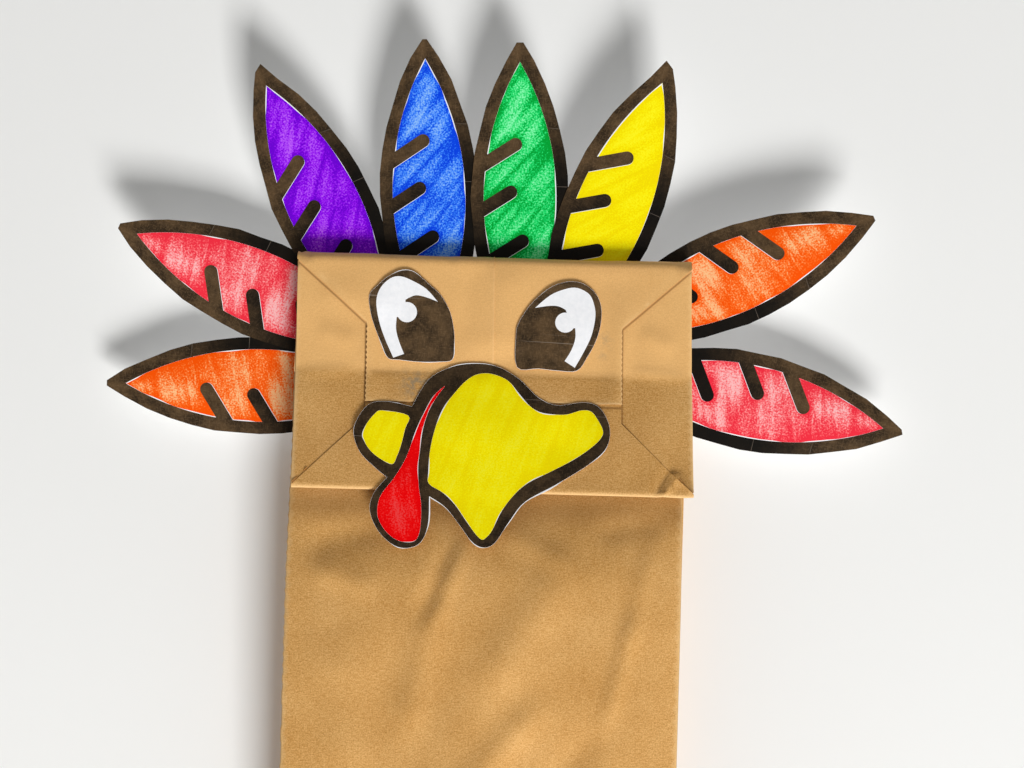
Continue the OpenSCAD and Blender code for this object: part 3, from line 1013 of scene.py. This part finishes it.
def tube_section(q, z):
    """Middle of the folded sheet at distance q round from the centre of the front."""
    side = np.where(q < 0, -1.0, 1.0)
    edge = np.where(q < 0, side_x(-1, z), side_x(1, z))
    fy = np.minimum(front_y(z), THROAT_IN)
    depth = (BACK - fy) / 2
    inner_x = side * (HALF - np.sqrt(GUSSET**2 - depth**2))
    inner_y = (BACK + fy) / 2
    far = np.abs(q)
    on_front = np.stack([edge * far / HALF, fy], axis=-1)
    t = np.clip((far - HALF) / GUSSET, 0, 1)[..., None]
    fold_in = np.stack([edge, fy], axis=-1) * (1 - t) + np.stack([inner_x, inner_y], axis=-1) * t
    t = np.clip((far - HALF - GUSSET) / GUSSET, 0, 1)[..., None]
    back = np.stack([side * HALF, BACK + 0 * z], axis=-1)
    fold_out = np.stack([inner_x, inner_y], axis=-1) * (1 - t) + back * t
    where = [(far < HALF)[..., None], (far < HALF + GUSSET)[..., None]]
    return np.select(where, [on_front, fold_in], fold_out)


def tube_place(p, depth):
    q, z = p[:, 0], p[:, 1]
    end = HALF + 2 * GUSSET
    near = [tube_section(np.clip(q + d, -end, end), z) for d in (-0.5, 0, 0.5)]
    middle = near[0] / 4 + near[1] / 2 + near[2] / 4
    run = near[2] - near[0]
    normal = np.stack([run[:, 1], -run[:, 0]], axis=1)
    normal /= np.maximum(np.linalg.norm(normal, axis=1, keepdims=True), 1e-6)
    out = middle + normal * (PLY / 2 - depth)
    flat = np.abs(q) < HALF
    out[:, 1] -= np.where(flat, front_relief(q, z), 0.35 * ripple(q, z, 22, 3.3) * (np.abs(q) < end - 6))
    nick = 0.22 * (np.round(z / 1.2) % 2) * (np.abs(q + HALF) < 0.8)
    return np.stack([out[:, 0] - nick, out[:, 1], z], axis=-1)


MOUTH_Z, MOUTH_SOFT = 188, 5  # height and softness of the painted shade band just below the head's lower edge


def painted_shade_under_head(p):
    """Painted shade: the front is darker in a band just below the head's lower edge."""
    return 0.55 * np.exp(-(((p[:, 1] - MOUTH_Z) / MOUTH_SOFT) ** 2)) * (np.abs(p[:, 0]) < HALF)


def front_and_gussets():
    """The front panel and both gussets, from back edge to back edge."""
    far = HALF + 2 * GUSSET
    crease = HALF + GUSSET
    top = THROAT_Z - 0.3
    hem = serrated((-far, 0), (-NOTCH_R, 0), EDGE_TEETH, TOOTH_H)
    notch = arc_points((0, 0), NOTCH_R, 180, 0, 19)
    hem += [tuple(p) for p in notch]
    hem += serrated((NOTCH_R + 0.5, 0), (far, 0), EDGE_TEETH, TOOTH_H)
    outline = [*hem, (far, 0), (far, TOP - 1), (crease, top), (-crease, top), (-far, TOP - 1)]
    folds = [0.6, 0, -0.6]
    columns = [side * (c + d) for side in (-1, 1) for c in (HALF, crease) for d in folds]
    # Wear along the folds, and painted shade in a band just below the head's lower edge
    tints = {"wear_and_highlight": line_tint(0, -HALF, HALF, -crease, crease, width=0.7), "painted_shade": painted_shade_under_head}
    piece = creased("front_and_gussets", outline, 2.6, 2.6, tube_place, tints, columns=columns)
    gussets = [named(stem, side) for stem in ("gusset_front", "gusset_back") for side in (-1, 1)]
    bend(piece, "root", "front", (0, BACK - 0.5, 0), (0, BACK / 2, 0), "front_panel", *gussets)


# ---- glue ----


GLUE_T = 0.08  # thickness of dried glue
DAB_R = 3


def glued(name, loop, step, place, body, nodes):
    at, faces = cut_mesh(loop, step=step)
    settle(paper(name, at, faces, place, GLUE_T, [GLUE]), body, "glue", *nodes)


def dab(name, centre, seed, place, body, nodes):
    """A dab of dried glue, pressed flat between two sheets."""
    angles = np.linspace(0, 2 * math.pi, 24, endpoint=False)
    random = np.random.default_rng(seed)
    swell = 1 + 0.1 * np.sin(2 * angles + random.uniform(0, 6))
    swell = swell + 0.07 * np.sin(3 * angles + random.uniform(0, 6))
    loop = np.array(centre) + DAB_R * (swell * np.array([np.cos(angles), np.sin(angles)])).T
    glued(name, loop, 1.5, place, body, nodes)


def strip(name, low, high, place, body, node):
    """A strip of dried glue with slightly wavy edges."""
    corners = np.array([low, (high[0], low[1]), high, (low[0], high[1])], float)
    loop = subdivided(corners, 4)
    loop = grown(loop, 0.3 * ripple(loop[:, 0], loop[:, 1], 6)[:, None])
    glued(name, loop, 4, place, body, [node])


def on_head_at(n):
    return lambda p, depth: head_point(p[:, 0], p[:, 1], n - depth)


def behind_bag(y):
    return lambda p, depth: np.stack([p[:, 0], y + depth + 0 * p[:, 0], p[:, 1]], axis=-1)


def glue():
    seam = behind_bag(BACK + PLY + 0.04)
    strip("seam_glue_strip", (-SEAM_W + 0.8, 2), (-0.8, TOP - 2), seam, "root", "seam_glue")
    low, high = INNER_EDGE + 1, FLAP_EDGE - 1
    under = on_head_at(INNER_N + PLY + 0.07)
    strip("paste_strip", (1 - TONGUE, low), (TONGUE - 1, high), under, "head", "bottom_paste")
    for k, centre in enumerate([(-27, 22), (21, 24), (-8, 43), (-36, 60), (-8, 64), (26, 60)]):
        nodes = [] if k else ["face_glue_dots"]
        dab(f"face_dab_{k}", centre, k, on_head_at(FACE_N - 0.02), "head", nodes)
    # Distance from the tip and offset of the dab that holds each feather
    spots = {"purple": (86, 0), "blue": (84, 0), "green": (84, -3), "yellow": (85, 0),
             "red_left": (78, -3), "orange_left": (86, 0), "orange_right": (86, 0), "red_right": (86, 0)}
    for k, (key, (s, t)) in enumerate(spots.items()):
        tip_x, tip_z, lean = FEATHERS["feather_" + key][:3]
        a = math.radians(lean)
        at = (tip_x - s * math.sin(a) + t * math.cos(a), tip_z - s * math.cos(a) - t * math.sin(a))
        place = behind_bag(box_mm("feather_" + key)[0][1] - GLUE_T - 0.01)
        dab("feather_dab_" + key, at, k + 20, place, "root", [] if k else ["feather_glue_dots"])


# ---- the printed face ----

BEAK_LOBE = [(-25.5, 51), (-34, 49.5), (-40, 51), (-44, 58.5), (-42, 66), (-36.5, 71.5), (-32.5, 74.5)]
SNOOD_EDGE = [(-32.5, 74.5), (-36.7, 80), (-37.5, 86), (-34, 92.7), (-28, 97), (-21.7, 96), (-18.9, 90),
              (-18.8, 80.3)]
BEAK_EDGE = [(-18.8, 80.3), (-13.5, 83.7), (-9, 89), (-4.6, 94.6), (-0.8, 96.4), (2.8, 94.7), (7, 88),
             (12, 81.3), (22, 75.3), (32.4, 68.4), (38, 62.7), (38.8, 56), (35.5, 49.7), (30.5, 48),
             (22, 49.3), (15.8, 47.1), (9, 40.7), (2.1, 36.8), (-5, 35.9), (-13, 37.3), (-20.5, 41.7),
             (-25.5, 51)]
BEAK_FILL = [(-4.4, 39.4), (0.2, 39.2), (5.5, 41.4), (9.5, 46), (12.9, 49.8), (16.2, 51.7), (20.4, 52.3),
             (24.9, 52.2), (29.5, 50.7), (32.7, 50.9), (34.7, 53.2), (36.7, 57.1), (36.1, 59.8),
             (32.9, 63.1), (27.2, 67.2), (19.9, 71.3), (12.9, 75.1), (8.5, 79.1), (4.7, 84.4), (1.7, 90.9),
             (-0.1, 93.2), (-1.4, 93.9), (-3.3, 92.4), (-6.7, 88), (-10.4, 82.9), (-14.4, 79.1),
             (-19, 76.3), (-19.4, 72.8), (-19.1, 65.3), (-17.7, 58), (-15.4, 51.3), (-11.7, 45.9),
             (-8.2, 41.8)]
LOBE_FILL = [(-41.3, 60.6), (-40.1, 57.3), (-37.7, 53.9), (-35.2, 52.5), (-26.6, 54), (-27.4, 58.3),
             (-28.5, 63.6), (-29.7, 67.5), (-31.2, 70.2), (-35.4, 68.3), (-38.5, 65.8), (-40.5, 62.9)]
SNOOD_FILL = [(-15, 43.7), (-18.8, 47.4), (-21.8, 53.5), (-24.2, 59.5), (-25.9, 65.4), (-27.6, 69.7),
              (-30.6, 75), (-34.3, 80.3), (-35.3, 84.9), (-34.5, 88.7), (-31.8, 92.5), (-27.9, 95),
              (-23.4, 95.2), (-21.6, 92.9), (-21.1, 88.4), (-21.3, 82.6), (-22.2, 77.4), (-22.7, 70.9),
              (-22.3, 64.7), (-21.6, 58.1), (-19.9, 52.1), (-17.5, 47.4)]
EYES = {
    "eye_left": {
        "outline": [(-40.7, 14.8), (-38.2, 11.6), (-34.8, 8.5), (-30.2, 6.3), (-26.2, 6.8), (-21.5, 10.5),
                    (-17.4, 14.1), (-14.2, 19.4), (-12.7, 25.5), (-12.5, 30.2), (-13, 34.9), (-17.2, 35.7),
                    (-23.8, 35.9), (-30.3, 35.4), (-34, 34.9), (-36.4, 30.2), (-38.7, 24.9), (-40.2, 20.2)],
        "white": [[(-32.3, 34.8), (-35.2, 28.8), (-37.4, 22.8), (-38.4, 16.7), (-37.2, 12.3), (-34.1, 9.1),
                   (-30.8, 8.3), (-26.8, 9.6), (-22.1, 12.2), (-18.3, 16.2)],
                  [(-18.3, 16.2), (-22, 14.9), (-25.3, 14.3), (-27.6, 15.1), (-29.2, 16.1)],
                  [(-31.6, 21.6), (-31.7, 25.4), (-30.6, 29.4), (-28.4, 34.4)]],
        "catchlight": ((-28.3, 19.9), -100, 150),
    },
    "eye_right": {
        "outline": [(7.7, 26.3), (8.6, 22.2), (11.4, 17.4), (15.2, 13.2), (19.5, 10), (24.7, 8.4), (29.3, 9),
                    (33.4, 12), (35.4, 16.7), (35.2, 22.8), (33.6, 28.2), (31.1, 33), (27.9, 37.4),
                    (21.4, 37.6), (15.2, 37.1), (8.3, 36.7)],
        "white": [[(27.2, 36.5), (29.8, 31.7), (32.3, 26.2), (33.5, 20.1), (33.1, 16), (31.4, 12.4),
                   (27.4, 10.4), (23.4, 10.9), (18.5, 13.1), (13.7, 17.3)],
                  [(13.7, 17.3), (18.6, 16.5), (21.6, 16.7), (24.2, 18)],
                  [(27, 23.7), (27.1, 27.1), (25.8, 31.1), (23.3, 35.2)]],
        "catchlight": ((23.7, 21.9), -83, -328),
    },
}


def outline_of(*lines, steps):
    """One outline made of curves that follow one another."""
    return np.concatenate([curve(line, steps) for line in lines])


def closed(points, steps=4):
    """A smooth closed curve through points."""
    p = list(points)
    ring = curve([p[-2], p[-1], *p, p[0], p[1]], steps)
    return ring[2 * steps : -steps]


def on_face(lift):
    """Place of a cut-out on the head; lift(u, v) says how far it stands off."""

    def place(p, depth):
        n = FACE_N + CARD - depth + lift(p[:, 0], p[:, 1])
        return head_point(p[:, 0], p[:, 1], n)

    return place


def trim(printed, seed):
    """Where the scissors went round a printed outline, with slivers of white left in places."""
    margin = np.clip(0.7 * ripple(printed[:, 0], printed[:, 1], 9, seed + 0.3) - 0.05, 0.04, 0.6)
    return grown(printed, margin[:, None])


def eye(node, spec, seed):
    printed = closed(spec["outline"])
    upper, top_edge, lower = spec["white"]
    above, below = outline_of(upper, top_edge, steps=4), outline_of(lower, steps=4)
    centre, start, end = spec["catchlight"]
    white = np.concatenate([above, arc_points(centre, 3.3, start, end, 22), below])
    trimmed = trim(printed, seed)
    at, faces = cut_mesh(trimmed, [printed, white], step=1.6)

    def paint(c):
        return np.where(inside(c, white) | ~inside(c, printed), 1, 0)

    def lift(u, v):
        return 0.2 * np.exp(-((v - 8) / 5) ** 2)

    piece = paper(node + "_print", at, faces, on_face(lift), CARD, [INK, WHITE], paint, flip=True)
    settle(piece, "head", "printed_black", node)


def beak():
    printed = outline_of(BEAK_LOBE, SNOOD_EDGE, BEAK_EDGE, steps=5)
    fills = [closed(BEAK_FILL), closed(LOBE_FILL), closed(SNOOD_FILL)]
    inks = [uneven(fill, k) for k, fill in enumerate(fills)]
    at, faces = cut_mesh(trim(printed, 5), [printed, *fills, *inks], step=1.8)

    def paint(c):
        yellow = inside(c, inks[0]) | inside(c, inks[1])
        bare = inside(c, fills[0]) | inside(c, fills[1]) | ~inside(c, printed)
        red = inside(c, inks[2])
        rim = inside(c, fills[2])
        return np.select([yellow, red, bare | rim], [1, 2, 3], 0)

    def lift(u, v):
        return 0.6 * smooth(v, 80, 97) + 0.4 * smooth(-u, 34, 44)

    tints = {"edge": edge_tint(*inks), "deep": lambda p: 0.5 + 0 * p[:, 0]}
    piece = paper("beak_and_snood_print", at, faces, on_face(lift), CARD,
                  [INK, MARKER["beak"], MARKER["snood"], WHITE], paint, tints=tints, flip=True)
    settle(piece, "head", "beak_marker", "beak_and_snood")


def bag():
    for side in (-1, 1):
        back_and_flap(side)
    inner_flap()
    front_and_gussets()
    for side in (-1, 1):
        side_fold(side)
        web(side)
        corner_fold(side)
        corner_web(side)


bag()
glue()
for order, (eye_node, eye_spec) in enumerate(EYES.items()):
    eye(eye_node, eye_spec, order)
beak()


# ---- camera, stage and light ----

VIEW_X, VIEW_Z, VIEW_DISTANCE, VIEW_ROLL = 6.8, 228.6, 550, 1.6
FRAME_W = 340.7  # width of the view at the back panel
SENSOR = 36
FLOOR_Z = -0.002  # metres
WALL_LOW, WALL_HIGH = BACK + 3, BACK + 31  # the backdrop leans back behind the feathers


def camera():
    data = bpy.data.cameras.new("camera")
    data.sensor_width = SENSOR
    data.lens = SENSOR * VIEW_DISTANCE / FRAME_W
    data.clip_start, data.clip_end = 0.01, 20
    obj = bpy.data.objects.new("camera", data)
    obj.location = (VIEW_X * MM, (BACK - VIEW_DISTANCE) * MM, VIEW_Z * MM)
    obj.rotation_mode = "XYZ"
    obj.rotation_euler = (math.pi / 2, math.radians(-VIEW_ROLL), 0)
    COLLECTION.objects.link(obj)
    bpy.context.scene.camera = obj


def stage_material(name, colour, one_sided=False):
    """Plain card with faint clouds; one-sided card is clear from behind."""
    s = Shader(name)
    tone = s.mix(s.noise(3, 2, 0.5), tuple(c * 0.97 for c in colour[:3]) + (1,), colour)
    surface = {"Base Color": tone, "Roughness": 0.8, "Specular IOR Level": 0.2}
    shader = s.add("BsdfPrincipled", surface).outputs[0]
    if one_sided:
        clear = s.add("BsdfTransparent").outputs[0]
        back = s.add("NewGeometry").outputs["Backfacing"]
        shader = s.add("MixShader", {0: back, 1: shader, 2: clear}).outputs[0]
    s.add("OutputMaterial", {"Surface": shader})
    return s.material


def plane(name, corners, material):
    mesh = bpy.data.meshes.new(name)
    mesh.from_pydata(corners, [], [(0, 1, 2, 3)])
    mesh.uv_layers.new(name="flat")
    mesh.materials.append(material)
    obj = bpy.data.objects.new(name, mesh)
    COLLECTION.objects.link(obj)
    return obj


def lamp(name, place, target, size, energy):
    data = bpy.data.lights.new(name, "AREA")
    data.size, data.energy = size, energy
    obj = bpy.data.objects.new(name, data)
    obj.location = place
    obj.rotation_mode = "QUATERNION"
    obj.rotation_quaternion = (Vector(target) - Vector(place)).to_track_quat("-Z", "Y")
    COLLECTION.objects.link(obj)


def stage():
    pale = linear(243, 243, 241)
    low, high = WALL_LOW * MM, WALL_HIGH * MM
    corners = [(x * 1.5, y * 1.5, FLOOR_Z) for x, y in ((-1, -1), (1, -1), (1, 1), (-1, 1))]
    floor = plane("floor", corners, stage_material("floor_pale", pale))
    floor.visible_shadow = False  # the key light comes from below its level
    wall = [(-0.4, low, FLOOR_Z), (0.4, low, FLOOR_Z), (0.4, high, 0.55), (-0.4, high, 0.55)]
    backdrop = plane("backdrop", wall, stage_material("backdrop_pale", pale, one_sided=True))
    backdrop.visible_shadow = False  # the back light reaches the puppet through it
    world = bpy.data.worlds.new("studio")
    world.use_nodes = True
    sky = world.node_tree.nodes["Background"]
    sky.inputs["Color"].default_value = (1, 1, 1, 1)
    sky.inputs["Strength"].default_value = 0.3
    bpy.context.scene.world = world
    centre = (0, 0.01, 0.23)
    lamp("key", (1.0, -2.25, -2.2), centre, 1.15, 125.0)
    lamp("back", (-0.4, 1.1, 0.9), centre, 0.8, 4.5)
    bpy.context.scene.view_settings.view_transform = "Standard"


camera()
stage()
